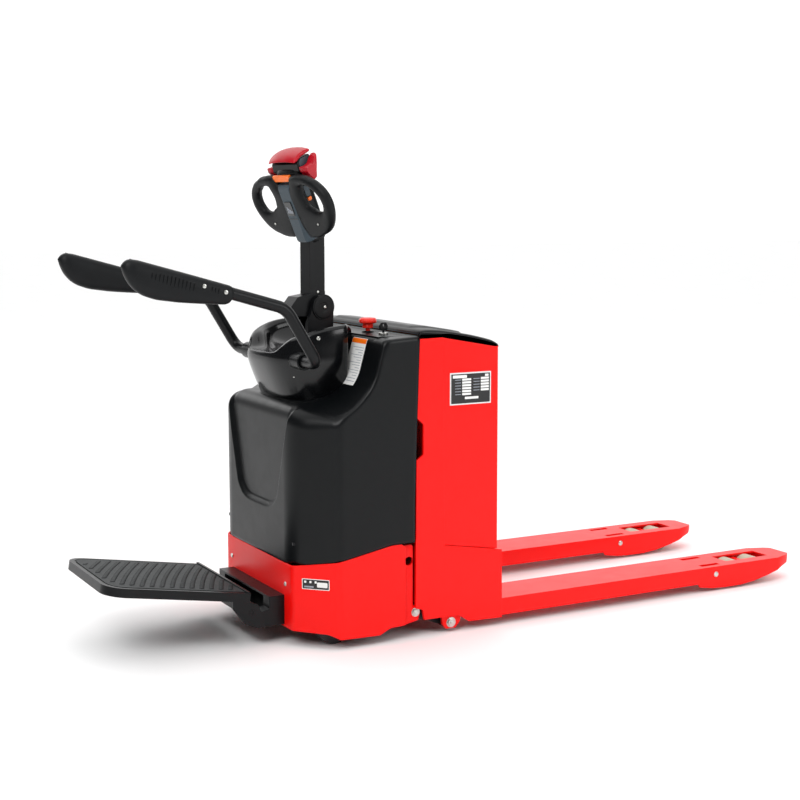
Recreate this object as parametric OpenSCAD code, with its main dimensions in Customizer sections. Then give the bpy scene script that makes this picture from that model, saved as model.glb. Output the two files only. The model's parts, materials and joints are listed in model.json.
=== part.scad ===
/* [Forks] */
// Distance across the outer sides of the two forks
fork_span = 685; // [680:1:688]
// Width of one fork
fork_w = 160; // [158:1:162]
// Reach of the forks from the battery box
fork_reach = 1220; // [1200:5:1300]
// Height of the fork tops when lowered
fork_top = 84; // [84:0.5:85]
// Thickness of the fork's top plate
fork_plate = 6; // [5:0.5:7]

/* [Chassis] */
// Half of the width over the chassis skirt and the cover
half_w = 352; // [351:1:356]
// Half of the width of the flat nose, between the two corner chamfers
nose_half = 248; // [240:1:256]
// Distance from the fork side of the battery box to the flat nose
nose_x = 640; // [636:1:644]
// Thickness of the skirt's steel
skirt_t = 6; // [5:0.5:7]
// Thickness of the moulded covers
cover_t = 5; // [4:0.5:6]

/* [Drive unit and tiller] */
// Distance of the steering axis behind the battery box's fork side
steer_back = 440; // [436:1:444]
// Angle that the tiller is turned to, from straight ahead
steer_turn = 8; // [0:1:12]
// Radius of the drive wheel over its tyre
drive_r = 115; // [110:1:116]
// Height of the tiller's tilt pin
tilt_z = 972; // [966:1:976]
// Lean of the tiller head towards the operator
head_lean = 24.8; // [22:0.2:27]

/* [Platform and side arms] */
// Length of the folding platform along its tread
platform_len = 432; // [400:2:450]
// Upward tilt of the unloaded platform
platform_tilt = 9.2; // [6:0.2:12]
// Half of the platform's width
platform_half = 208; // [204:1:210]
// Half of the distance between the two side arms
arm_half = 300; // [294:1:306]

/* [Lift] */
// Radius of a fork's load wheel
load_r = 40; // [39:0.5:40]
// Length of the load lever from its pivot to the wheel bogie
lever_len = 171; // [169:1:173]

/* [Hidden] */
$fn = 48;

fit = 0.05;              // radial gap of a running fit
gap = 1;                 // gap between parts that move past each other
red = [1, 0.13, 0.11];
black = [0.06, 0.06, 0.07];
steel = [0.62, 0.63, 0.65];

// Platform hinge, tread edge and the overall length that they set
hinge = [-749, 108];
tread_edge = [-750, 164];
tray_t = 26;
back_end = tread_edge[0] - platform_len * cos(platform_tilt) - tray_t * sin(platform_tilt);
mid_shift = -(fork_reach + back_end) / 2;

// Forks and linkage
fork_mid = fork_span / 2 - fork_w / 2;
fork_in = fork_span / 2 - fork_w;
box_z = fork_top - 1;
lid_hinge = [6, 866];
plate_in = 336;
plate_out = 346;
lever_pivot = [864, 58];
lever_dip = asin((lever_pivot[1] - load_r) / lever_len);
bogie_pin = [lever_pivot[0] + lever_len * cos(lever_dip), load_r];
wheel_half_gap = 46;
rocker_pivot = [-156, 31];
chassis_pin = [-278, 78];
rocker_up = 64;          // angle of the rocker's rod arm
rocker_r = 22.2;
tail = [cos(158.9), sin(158.9)];   // direction of the rocker's slotted tail
lever_down = -66;        // angle of the lever's rod arm
lever_r = 24;
rod_rear = rocker_pivot + rocker_r * [cos(rocker_up), sin(rocker_up)];
rod_front = lever_pivot + lever_r * [cos(lever_down), sin(lever_down)];
rod_in = 315;
rod_out = 323;
shaft_r = 9;

// Steering
deck_z = 300;
caster_axis = [-490, 260];
caster_trail = 26;
caster_r = 50;
neck = [-15, 1200];      // where the head meets the tiller's tube, from the steering axis
// Side outline of the head, across its depth and along it
head_side = [[-42, -16], [-36, 160], [-20, 166], [-20, 196], [0, 200], [0, 220], [14, 232], [50, 230],
    [54, 200], [30, 150], [26, 6], [10, 6], [0, -2], [-8, -20]];

// Side arms
arm_pivot = [-575, 828];
arm_elbow = [-672, 990];
arm_rise = 16;
arm_tube_r = 17;
grip_half = 22;
grip_start = 170;        // distance of the grip from the elbow
grip_end = 478;

module at_datum() translate([mid_shift, 0, 0]) children();
module both_sides() { children(); mirror([0, 1, 0]) children(); }
// A side outline, x forward and z up, drawn out from y0 to y1
module side_plate(points, y0, y1)
    translate([0, y1, 0]) rotate([90, 0, 0]) linear_extrude(y1 - y0) polygon(points);
module side_rod(p, y0, y1, r)
    translate([p[0], y0, p[1]]) rotate([-90, 0, 0]) cylinder(r = r, h = y1 - y0);
// A straight bar with round ends between two side points
module side_link(a, b, y0, y1, r) {
    d = b - a;
    turn = norm(d) > 0 ? atan2(d[1], d[0]) : 0;
    side_plate([for (k = [[b, turn - 90], [a, turn + 90]], i = [0:15:180])
        k[0] + r * [cos(k[1] + i), sin(k[1] + i)]], y0, y1);
}
module box(low, high) translate(low) cube(high - low);
// Places a child drawn round the steering axis, tiller pointing along -X
module at_steering() at_datum() translate([-steer_back, 0, 0]) rotate([0, 0, steer_turn]) children();
// Places a child drawn in the tiller head's own frame, +Z up along the head
module at_head() at_steering() translate([neck[0], 0, neck[1]]) rotate([0, -head_lean, 0]) children();
module at_platform() at_datum() translate([tread_edge[0], 0, tread_edge[1]])
    rotate([0, platform_tilt, 0]) children();

function chassis_outline(inset) = let(c = inset * tan(22.5), rear = -308)
    [[rear, -half_w + inset], [-537 + c, -half_w + inset], [-nose_x + inset, -nose_half + c],
     [-nose_x + inset, nose_half - c], [-537 + c, half_w - inset], [rear, half_w - inset]];

module chassis_wall(inset, profile, rear_stretch = 0) intersection() {
    linear_extrude(1000) polygon([for (p = chassis_outline(inset)) p[0] == -308 ? p + [rear_stretch, 0] : p]);
    side_plate(profile, -400, 400);
}

// Red steel skirt round the drive unit, with the rear lugs that hold the link pins
module chassis_skirt() color(red) at_datum() {
    profile = [[-700, 48], [-640, 48], [-560, 45], [-531, 31], [-404, 28], [-370, 45], [-308, 48],
        [-308, 289], [-364, 292], [-537, 260], [-640, 241], [-700, 241]];
    difference() {
        chassis_wall(0, profile);
        chassis_wall(skirt_t, [[-700, 0], [-200, 0], [-200, 400], [-700, 400]], 20);
        for (y = [-205, 205]) translate([-700, y, 179]) rotate([0, 90, 0]) cylinder(r = 5, h = 100);
    }
    both_sides() difference() {
        union() {
            side_plate([[-330, 40], [-268, 52], [-262, 78], [-268, 92], [-286, 100], [-286, 284],
                [-330, 284]], 325, 335);
            box([-330, 325, 60], [-320, 346, 280]);
        }
        side_rod(chassis_pin, 320, 340, 8);
        side_rod([-300, 235], 320, 340, 11);
    }
}

// Inner steelwork: deck for the drive unit, outriggers for the casters, rear cross plate
module chassis_frame() color(black) at_datum() {
    difference() {
        union() {
            chassis_wall(skirt_t + 1,
                [[-700, deck_z], [-316, deck_z], [-316, deck_z + 8], [-700, deck_z + 8]], -8);
            both_sides() box([-545, 205, 150], [-424, 334, 158]);
            both_sides() box([-545, 196, 150], [-424, 204.9, deck_z]);
        }
        translate([-steer_back, 0, deck_z - 1]) cylinder(r = 96, h = 20);
        both_sides() translate([caster_axis[0], caster_axis[1], 140]) cylinder(r = 10 + fit, h = 30);
    }
    box([-315.9, -320, 130], [-308, 320, deck_z + 8]);
    box([-315.9, -280, 60], [-308, 280, 130]);
    box([-308, -60, 60], [-240.9, 60, 74]);
}

// Two rails that guide the carriage
module lift_mast() color(black) at_datum() both_sides() difference() {
    box([-292, 150, 60], [-246, 190, 830]);
    box([-286, 156, 50], [-252, 200, 840]);
}

// Outer volume of the glossy cowl round the tiller's foot
module cowl_envelope(inset = 0) {
    a0 = 4;
    plan = concat([[-396 - inset, -196 + inset]],
        [for (a = [-90 + a0:6:90 - a0]) [-428 - (204 - inset) * pow(cos(a), 0.72), (200 - inset) * sin(a)]],
        [[-396 - inset, 196 - inset]]);
    side = [[-574, 690], [-632, 796], [-634, 826], [-622, 862], [-590, 900], [-500, 934], [-380, 934],
        [-380, 690]];
    intersection() {
        translate([0, 0, 690]) linear_extrude(300) polygon(plan);
        side_plate([for (p = side) p[1] > 690 ? p + [inset * 0.7, -inset] : p - [0, inset]], -250, 250);
    }
}
module tiller_well(r_front, r_rear, z0) translate([-steer_back, 0, z0]) {
    cylinder(r = r_rear, h = 200);
    intersection() {
        cylinder(r = r_front, h = 200);
        translate([-200, -200, 0]) cube([200, 400, 200]);
    }
}

// Volume of the moulded cover: a low nose with sloping shoulders and a tall rear block
module cover_volume(inset, drop, low) intersection() {
    chassis_wall(inset, [[-700, low], [-640, 242 - drop], [-537, 261 - drop], [-364, 293 - drop],
        [-300, 291 - drop], [-288 + 6 * drop, 300 - drop], [-288 + 6 * drop, 424],
        [-275 + 6 * drop, 900 - drop], [-300, 903 - drop],
        [-389 + drop, 893 - drop], [-408 + drop, 844 - drop], [-428 + drop, 750 - drop], [-535, 712 - drop],
        [-622, 698 - drop], [-700, 650 - drop]], 40);
    union() {
        box([-430 + inset, -400, 0], [0, 400, 1000]);
        side = half_w - inset;
        translate([-700, 0, 0]) rotate([90, 0, 90]) linear_extrude(290) polygon([[-side, 0],
            [side, 0],
            [side, 672 - drop], [side - 26, 704 - drop], [side - 100, 720 - drop], [side - 160, 760 - drop],
            [160 - side, 760 - drop], [100 - side, 720 - drop], [26 - side, 704 - drop], [-side, 672 - drop]]);
    }
}

// Black moulded cover over the drive unit
module front_cover() color(black) at_datum() {
    difference() {
        cover_volume(0, 0, 242);
        cover_volume(cover_t, cover_t, 200);
        cowl_envelope();
        tiller_well(60, 74, 700);
        box([-378, -292, 880], [-296, 292, 960]);
        both_sides() side_rod([-314, 314], half_w - 10, half_w + 1, 5);
    }
    // Rear flanges behind the notches of the carriage plates
    both_sides() box([-290, 322, 300], [-250, 334, 884]);
    both_sides() box([-290, 334, 300], [-284, half_w - cover_t, 424]);
}

// Glossy cowl that carries the side arms and rings the tiller's foot
module cowl() color(black) at_datum() difference() {
    cowl_envelope();
    difference() { cowl_envelope(5); box([-700, -240, 846], [-300, 240, 960]); }
    tiller_well(128, 76, 852);
    translate([-steer_back, 0, 680]) cylinder(r = 40, h = 200);
    box([-440, -60, 600], [-380, 60, 960]);
    both_sides() side_rod(arm_pivot, 150, 260, 25);
}

// Recessed panel that carries the emergency stop and the key switch
module top_panel() color(black) at_datum() difference() {
    box([-378, -292, 892], [-296, 292, 898]);
    tiller_well(60, 74, 700);
    translate([-326, -125, 880]) cylinder(r = 11, h = 30);
    translate([-326, -225, 880]) cylinder(r = 9, h = 30);
}

// Screws and bolts of the cover, the cowl and the skirt
module cover_screws() color(steel) at_datum() {
    for (y = [-205, 205]) translate([-650, y, 179]) rotate([0, 90, 0]) {
        cylinder(r = 9, h = 10);
        cylinder(r = 5, h = 24);
    }
    both_sides() side_rod([-314, 314], half_w - cover_t, half_w, 5);
}

// Steel block that carries the platform's hinge
module platform_bracket() color(black) at_datum() difference() {
    union() {
        side_plate([[-640, 56], [-712, 56], [-712, 102], [-688, 108], [-688, 144], [-640, 144]], -196, 196);
        both_sides() side_link([-720, 80], hinge, 150, 196, 22);
    }
    side_rod(hinge, -200, 200, 8);
    box([-700, -150, 68], [-646, 150, 138]);
}
module platform_pin() color(steel) at_datum() side_rod(hinge, -207, 207, 8);

// Pedal-height folding platform: rimmed steel tray with two hinge ears
module platform_tray() color(black) {
    at_platform() difference() {
        tray_outline(0, -tray_t, 0);
        tray_outline(5, -tray_t - 1, -4);
        tray_outline(9, -2, 1);
    }
    at_datum() both_sides() difference() {
        side_plate([[-806, 125], [-770, 76], [-728, 58], [-712, 58], [-706, 76], [-728, 128], [-752, 138],
            [-806, 147]], 197, 207);
        side_rod(hinge, 190, 210, 8 + fit);
    }
}
module tray_outline(inset, z0, z1) {
    r = 60;
    l = platform_len - inset;
    h = platform_half - inset;
    corner = [for (a = [0:15:90]) [-(l - r) - (r - inset / 2) * sin(a), (h - r) + r * cos(a)]];
    translate([0, 0, z0]) linear_extrude(z1 - z0) polygon(concat(
        [[-inset, h]], corner, [for (i = [6:-1:0]) [corner[i][0], -corner[i][1]]], [[-inset, -h]]));
}

// Ribbed rubber mat in the tray
module platform_mat() color(black) at_platform() {
    tray_outline(10, -2, 1);
}

module pump_unit() color(steel) at_datum() {
    translate([-372, 195, 560]) cylinder(r = 52, h = 120);
    box([-430, 140, 480], [-314, 250, 559.9]);
    box([-430, 110, 308], [-314, 330, 479.9]);
}
module lift_cylinder() color(steel) at_datum() difference() {
    union() {
        translate([-272, 0, 74]) cylinder(r = 24, h = 406);
        translate([-272, 0, 440]) cylinder(r = 26, h = 30);
    }
    translate([-272, 0, 100]) cylinder(r = 18, h = 360);
    translate([-272, 0, 90]) cylinder(r = 12 + fit, h = 500);
}
module lift_rod() color(steel) at_datum() {
    translate([-272, 0, 120]) cylinder(r = 12, h = 440);
    translate([-272, 0, 130]) cylinder(r = 18 - fit, h = 20);
    box([-296, -25, 560], [-240, 25, 580]);
}
module motor_controller() color(black) at_datum() {
    box([-420, -330, 308], [-320, -120, 372]);
    for (i = [0:6]) box([-416 + 14 * i, -326, 372], [-410 + 14 * i, -124, 396]);
}
module steering_bearing() color(steel) at_steering() difference() {
    translate([0, 0, deck_z - 8]) cylinder(r = 96, h = 16);
    translate([0, 0, deck_z - 20]) cylinder(r = 78 + fit, h = 40);
}
module link_pins() color(steel) at_datum() both_sides() side_rod(chassis_pin, 280, 335.5, 8);

module emergency_stop_base() color(black) at_datum() translate([-326, -125, 892]) difference() {
    union() { cylinder(r = 11, h = 6); translate([0, 0, 6]) cylinder(r = 17, h = 5); }
    translate([0, 0, -1]) cylinder(r = 8, h = 20);
}
module emergency_stop_button() color([0.9, 0.2, 0.05]) at_datum() translate([-326, -125, 898]) {
    cylinder(r = 7, h = 12);
    translate([0, 0, 12.5]) cylinder(r = 15, h = 18);
    cylinder(r = 7, h = 14);
    translate([0, 0, 28]) cylinder(r = 27, h = 16);
}
module key_switch() color(steel) at_datum() translate([-326, -225, 892]) difference() {
    union() { cylinder(r = 9, h = 6); translate([0, 0, 6]) cylinder(r = 14, h = 6); }
    translate([0, 0, -1]) cylinder(r = 4, h = 20);
}
module key() color(black) at_datum() translate([-326, -225, 894]) {
    cylinder(r = 3.6, h = 20);
    translate([-13, -3, 20]) cube([26, 6, 20]);
}
module arm_sockets() color(black) at_datum() both_sides() difference() {
    side_rod(arm_pivot, 150, 212, 25);
    side_rod(arm_pivot, 140, 220, arm_tube_r + fit);
}

// Steered drive unit: gearbox leg and neck
module drive_gearbox() color(black) at_steering() {
    difference() {
        union() {
            translate([0, 0, 250]) cylinder(r = 78, h = deck_z - 250 + 18);
            translate([-50, 48, 115]) cube([100, 46, 150]);
            translate([0, 48, 115]) rotate([-90, 0, 0]) cylinder(r = 74, h = 46);
        }
        translate([0, -60, 115]) rotate([-90, 0, 0]) cylinder(r = drive_r + 12, h = 107);
    }
    translate([0, -40, 115]) rotate([-90, 0, 0]) cylinder(r = 18, h = 90);
}
module drive_motor() color(black) at_steering() translate([0, 0, deck_z + 18]) {
    cylinder(r = 76, h = 12);
    translate([0, 0, 12]) cylinder(r = 70, h = 190);
    translate([0, 0, 202]) cylinder(r = 74, h = 10);
    translate([0, 0, 212]) cylinder(r = 48, h = 40);
}
module steering_column() color(black) at_steering() {
    both_sides() translate([-30, 80, deck_z + 18]) cube([60, 10, 272]);
    difference() {
        translate([0, 0, deck_z + 18]) cylinder(r = 92, h = 8);
        translate([0, 0, deck_z]) cylinder(r = 76.2, h = 40);
    }
    translate([-30, -90, 590]) cube([60, 180, 12]);
    translate([0, 0, 602]) cylinder(r = 30, h = 251);
}
module tiller_pedestal() color(black) at_steering() {
    translate([0, 0, 853]) cylinder(r = 56, h = 9);
    both_sides() difference() {
        union() {
            side_plate([[-52, 862], [35, 862], [38, tilt_z], [-38, tilt_z], [-56, 920]], 28, 42);
            side_rod([0, tilt_z], 28, 46, 38);
        }
        side_rod([0, tilt_z], 20, 50, 8);
    }
    side_rod([0, tilt_z], -44, 44, 8);
}
module drive_wheel_hub() color(steel) at_steering() difference() {
    translate([0, -37, 115]) rotate([-90, 0, 0]) cylinder(r = 82, h = 74);
    translate([0, -50, 115]) rotate([-90, 0, 0]) cylinder(r = 18 + fit, h = 100);
    both_sides() translate([0, 22, 115]) rotate([-90, 0, 0]) difference() {
        cylinder(r = 70, h = 30);
        cylinder(r = 32, h = 30);
    }
}
module drive_tyre() color([0.45, 0.25, 0.15]) at_steering() difference() {
    translate([0, -37, 115]) rotate([-90, 0, 0]) cylinder(r = drive_r, h = 74);
    translate([0, -50, 115]) rotate([-90, 0, 0]) cylinder(r = 82, h = 100);
}

// Tiller: tube, lower eye and the lever that the gas spring pushes on
module tiller_arm() color(black) at_steering() {
    difference() {
        union() {
            side_rod([0, tilt_z], -27, 27, 36);
            side_plate([[-37, 1010], [-80, 1004], [-111, 968], [-93, 946], [-20, 944], [20, tilt_z],
                [17, 1020], [-37, 1020]], -27, 27);
            translate([-37, -26, 1010]) cube([54, 52, 196]);
        }
        translate([neck[0], 0, neck[1]]) rotate([0, -head_lean, 0]) side_plate(head_side, -60, 60);
        side_rod([0, tilt_z], -30, 30, 8 + fit);
    }
}
module tiller_head() color([0.24, 0.28, 0.32]) at_head() {
    side_plate(head_side, -42, 42);
    both_sides() side_plate([[-8, 192], [0, 220], [14, 231], [46, 227], [42, 186]], 42, 72);
}
// Two hand loops with webs below them
module handle_loops() color(black) at_head() both_sides() {
    outer = [[42, 186], [90, 190], [130, 180], [176, 160], [202, 130], [208, 100], [196, 60], [166, 24],
        [120, 6], [60, -4], [42, -4]];
    inner = [[72, 158], [100, 160], [136, 148], [166, 128], [174, 104], [166, 76], [148, 64], [110, 80],
        [76, 92]];
    translate([-40, 0, 0]) rotate([90, 0, 90]) linear_extrude(30) difference() {
        polygon(outer);
        polygon(inner);
    }
}
module head_display() color([0.1, 0.12, 0.12]) at_head() translate([-39.5, -2, 70])
    rotate([0, 2, 0]) translate([-2, 0, 0]) cube([2.4, 34, 40]);
module throttle_wings() color([0.75, 0.1, 0.2]) at_head() {
    both_sides() difference() {
        side_plate([[-4, 214], [-4.5, 198], [4, 168], [14, 160], [40, 180], [52, 208], [46, 226], [20, 214]],
            74, 104);
        side_rod([10, 186], 70, 78, 6);
    }
    both_sides() side_rod([10, 186], 73, 90, 6);
}
module belly_switch() color([0.75, 0.1, 0.2]) at_head() {
    side_plate([[-20, 222], [-12, 238], [14, 251], [44, 252], [66, 243], [62, 238], [46, 243.5], [14, 243],
        [-6, 230]], -76, 76);
}
module lift_rocker() color([0.9, 0.45, 0.1]) at_head() both_sides() {
    side_rod([3, 125], 42.5, 48, 12);
    box([-8, 43, 120], [3, 50, 130]);
}
module horn_button() color([0.95, 0.45, 0.1]) at_head() box([-29, -40, 172], [-23.5, 40, 190]);

// Side arm: pivot shaft, riser and handle tube
module arm_tube(s) color(black) at_datum() scale([1, s, 1]) union() {
    arm_end = arm_elbow + grip_end * [-cos(arm_rise), sin(arm_rise)];
    side_rod(arm_pivot, 152, arm_half, arm_tube_r);
    side_tube([arm_pivot, arm_elbow]);
    side_tube([arm_elbow, arm_end]);
}
module side_tube(ends) {
    d = ends[1] - ends[0];
    translate([ends[0][0], arm_half, ends[0][1]]) {
        sphere(r = arm_tube_r + 0.6);
        rotate([0, atan2(d[0], d[1]), 0]) cylinder(r = arm_tube_r, h = norm(d));
    }
}
module arm_grip(s) color(black) at_datum() translate([arm_elbow[0], s * arm_half, arm_elbow[1]])
    rotate([0, -90 + arm_rise, 0]) difference() {
        side_plate([[20, grip_start], [20, grip_end - 12], [12, grip_end + 2], [-7, grip_end + 10],
            [-26, grip_end - 1], [-45, grip_end - 16], [-60, grip_end - 38], [-70, grip_end - 68],
            [-73, grip_end - 103], [-30, grip_start]], -grip_half, grip_half);
        translate([0, 0, grip_start - 1]) cylinder(r = arm_tube_r, h = grip_end - grip_start + 1);
    }

module caster_fork(s) color(steel) at_datum() translate([caster_axis[0], s * caster_axis[1], 0]) {
    translate([0, 0, 112]) cylinder(r = 30, h = 37.5);
    translate([0, 0, 140]) cylinder(r = 10, h = 24);
    for (y = [-26, 22]) translate([-52, y, 104]) cube([76, 4, 8]);
    translate([-52, -22, 104]) cube([76, 44, 8]);
    for (y = [-26, 22]) side_link([-caster_trail, caster_r], [-caster_trail, 100], y, y + 4, 14);
    side_rod([-caster_trail, caster_r], -26, 26, 6);
}
module caster_wheel(s) color([0.2, 0.2, 0.2]) at_datum() translate([caster_axis[0], s * caster_axis[1], 0])
    difference() {
        side_rod([-caster_trail, caster_r], -18, 18, caster_r);
        side_rod([-caster_trail, caster_r], -20, 20, 6 + fit);
    }

// Red side plates of the carriage with the lower pivot lugs
module carriage_plates() color(red) at_datum() both_sides() {
    side_plate([[-282, 92], [-281, 535], [-257, 551], [-257, 640], [-278, 659], [-270, 891], [-191, 893],
        [-185, 272], [17, 238], [20, 25], [-98, 28], [-134, 52], [-253, 53], [-258, 84]],
        plate_in, plate_out);
    difference() {
        union() {
            side_plate([[-184, 26], [-172, 12], [-140, 12], [-124, 30], [-118, 70], [-190, 70]],
                325, plate_in);
            side_plate([[-184, 26], [-172, 12], [-140, 12], [-124, 30], [-118, box_z],
                [-190, box_z]], 240, 252);
        }
        side_rod(rocker_pivot, 230, 345, shaft_r + fit);
    }
}
module battery_box() color(red) at_datum() {
    difference() {
        side_plate([[-240, box_z], [0, box_z], [0, 860], [-191, 893], [-240, 893]], -plate_in, plate_in);
        box([-235, -331, 90], [-5, 331, 1000]);
    }
    both_sides() side_plate([[-184, 273], [-190, 892], [-7, 858], [0, 860], [2, 242]], plate_in, 342);
    both_sides() {
        side_plate([[0, 836], lid_hinge + [5, 0], lid_hinge - [5, 0], [0, 860]], 240.5, 262);
        side_rod(lid_hinge, 240.5, 262, 5);
    }
}
module battery() color([0.12, 0.12, 0.13]) at_datum() {
    box([-234, -328, 91], [-8, 328, 620]);
    for (i = [0:5], j = [0, 1]) translate([-170 + 110 * j, -270 + 108 * i, 620]) cylinder(r = 26, h = 22);
}
module rating_plate() color(steel) at_datum() box([-167, -343.2, 690], [-25, -342, 786]);
module battery_lid() color(black) at_datum() {
    difference() {
        lid_shell();
        both_sides() side_rod(lid_hinge, 240, 262.5, 6);
    }
    both_sides() side_rod(lid_hinge, 200, 240, 5);
}
module lid_shell() difference() {
    side_plate([[-268, 896], [-242, 895], [-191, 896], [-4, 863], [2, 866], [0, 874], [-60, 890],
        [-150, 908], [-240, 916], [-266, 914]], -340, 340);
    side_plate([[-262, 890], [-243, 899], [-191, 901], [-8, 869], [-62, 884], [-150, 902],
        [-240, 910], [-262, 908]], -334, 334);
}

function fork_plan(inset) = let(m = inset, e = fork_reach - m, o = fork_span / 2 - m, i = fork_in + m)
    [[-100, i], [e - 85, i], [e - 25, i + 22], [e, i + 45], [e, o - 45], [e - 25, o - 22],
     [e - 85, o], [-100, o]];
module fork(s) color(red) at_datum() scale([1, s, 1]) difference() {
    intersection() {
        linear_extrude(200) polygon(fork_plan(0));
        side_plate([[-100, 31], [790, 31], [798, 20], [850, 12], [895, 9], [970, 9], [1030, 15], [1095, 29],
            [fork_reach - 55, 49], [fork_reach - 15, 58], [fork_reach, 64], [fork_reach, 78],
            [fork_reach - 8, fork_top], [0, fork_top], [0, box_z], [-100, box_z]], 0, 400);
    }
    difference() {
        translate([0, 0, -1]) linear_extrude(fork_top - fork_plate + 1) polygon(fork_plan(5));
        box([1150, 0, -10], [1300, 400, 200]);
    }
    box([-101, 100, -1], [0, 400, fork_top - fork_plate]);
    box([-101, plate_in, -1], [20.5, 400, 100]);
    box([943, fork_in + 43, 60], [1126, fork_span / 2 - 43, 100]);
    for (y = [fork_in + 20, fork_span / 2 - 40]) box([821, y, 70], [898, y + 20, 100]);
    side_rod(lever_pivot, 0, 400, 8);
    box([1100, fork_in + 36, -1], [1150, fork_span / 2 - 36, fork_top - fork_plate]);
}

module guide_rollers() color(steel) at_datum() both_sides() for (z = [200, 640]) {
    side_rod([-269, z], 160, 186, 16.7);
    side_rod([-269, z], 186, 206, 8);
    box([-280, 196, z - 12], [-240, 206, z + 12]);
}

// Torsion shaft with the rockers that turn the lift into a pull on the rods
module rockers() color(black) at_datum() {
    side_rod(rocker_pivot, -336, 336, shaft_r);
    side_rod(rocker_pivot, -236, 236, 14);
    both_sides() {
        difference() {
            union() {
                side_link(rocker_pivot, rocker_pivot + 148 * tail, 290, 312, 17);
                side_rod(rocker_pivot, 290, 312, 22);
                side_link(rocker_pivot, rod_rear, 290, 312, 11);
            }
            side_link(rocker_pivot + 124 * tail, rocker_pivot + 170 * tail, 280, 320, 12);
        }
        side_rod(rod_rear, 290, 325 - gap, 5);
    }
}
module push_rods() color(black) at_datum() both_sides() difference() {
    union() {
        side_link(rod_rear, rod_front, rod_in, rod_out, 9);
        side_link(rod_rear, rod_rear + [0, 3], rod_in, rod_out, 9.5);
        side_link(rod_front - [0, 2], rod_front, rod_in, rod_out, 11);
    }
    side_link(rod_rear - [0, 0.5], rod_rear + [0, 3], rod_in - 1, rod_out + 1, 5.6);
    side_link(rod_front - [0, 3], rod_front + [0, 0.5], rod_in - 1, rod_out + 1, 5.6);
}
module load_levers() color(red) at_datum() both_sides() {
    side_rod(lever_pivot, fork_in, fork_span / 2, 8 - fit);
    side_rod(lever_pivot, fork_mid - 51, fork_mid + 51, 14);
    for (y = [[fork_mid - 51.5, fork_mid - 43.5], [fork_mid + 43.5, fork_mid + 51.5]])
    difference() {
        union() {
            side_link(lever_pivot, bogie_pin, y[0], y[1], 13);
            side_link(lever_pivot, rod_front, y[0], y[1], 10);
        }
        side_rod(bogie_pin, y[0] - 1, y[1] + 1, 6);
    }
    side_rod(rod_front, fork_mid + 43.5, rod_out + 1, 5);
    for (y = [[fork_mid - 51.5, fork_mid - 37.5], [fork_mid + 37.5, fork_mid + 51.5]])
        side_rod(bogie_pin, y[0], y[1], 6);
}
module bogies() color(red) at_datum() both_sides() {
    for (y = [fork_mid - 43, fork_mid + 38]) difference() {
        union() {
            side_link(bogie_pin - [wheel_half_gap, 0], bogie_pin + [wheel_half_gap, 0], y, y + 5, 12);
            box([bogie_pin[0] - 12, y, load_r], [bogie_pin[0] + 12, y + 5, 72]);
        }
        side_rod(bogie_pin, y - 1, y + 6, 6 + fit);
    }
    for (d = [-1, 1]) side_rod(bogie_pin + [d * wheel_half_gap, 0], fork_mid - 43, fork_mid + 43, 6);
    box([bogie_pin[0] - 8, fork_mid - 42, 65], [bogie_pin[0] + 8, fork_mid + 42, 72]);
}
module load_wheel(s, d) color([0.75, 0.72, 0.65]) at_datum() scale([1, s, 1]) difference() {
    side_rod(bogie_pin + [d * wheel_half_gap, 0], fork_mid - 36, fork_mid + 36, load_r);
    side_rod(bogie_pin + [d * wheel_half_gap, 0], fork_mid - 40, fork_mid + 40, 6 + fit);
}

chassis_skirt();
chassis_frame();
lift_mast();
front_cover();
cowl();
top_panel();
cover_screws();
platform_bracket();
platform_pin();
pump_unit();
lift_cylinder();
motor_controller();
steering_bearing();
link_pins();
emergency_stop_base();
key_switch();
arm_sockets();
drive_gearbox();
drive_motor();
steering_column();
tiller_pedestal();
drive_wheel_hub();
drive_tyre();
tiller_arm();
tiller_head();
handle_loops();
head_display();
throttle_wings();
belly_switch();
lift_rocker();
horn_button();
emergency_stop_button();
key();
platform_tray();
platform_mat();
arm_tube(1);  // arm_tube_left
arm_tube(-1);  // arm_tube_right
arm_grip(1);  // arm_grip_left
arm_grip(-1);  // arm_grip_right
caster_fork(1);  // caster_fork_left
caster_fork(-1);  // caster_fork_right
caster_wheel(1);  // caster_wheel_left
caster_wheel(-1);  // caster_wheel_right
carriage_plates();
battery_box();
battery();
rating_plate();
fork(1);  // fork_left
fork(-1);  // fork_right
lift_rod();
guide_rollers();
battery_lid();
rockers();
push_rods();
load_levers();
bogies();
load_wheel(1, -1);  // load_wheel_rear_left
load_wheel(-1, -1);  // load_wheel_rear_right
load_wheel(1, 1);  // load_wheel_front_left
load_wheel(-1, 1);  // load_wheel_front_right
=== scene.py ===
"""Looks of the electric pallet truck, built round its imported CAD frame.

Drawing frames, all in millimetres: DATUM has X = 0 at the battery box's fork side and +X towards the
fork tips, STEERING turns with the tiller, HEAD stands along the tiller head, and TREAD lies on the platform.
"""

import json
import math

import bmesh
import bpy
import numpy as np
from mathutils import Matrix, Vector


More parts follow.
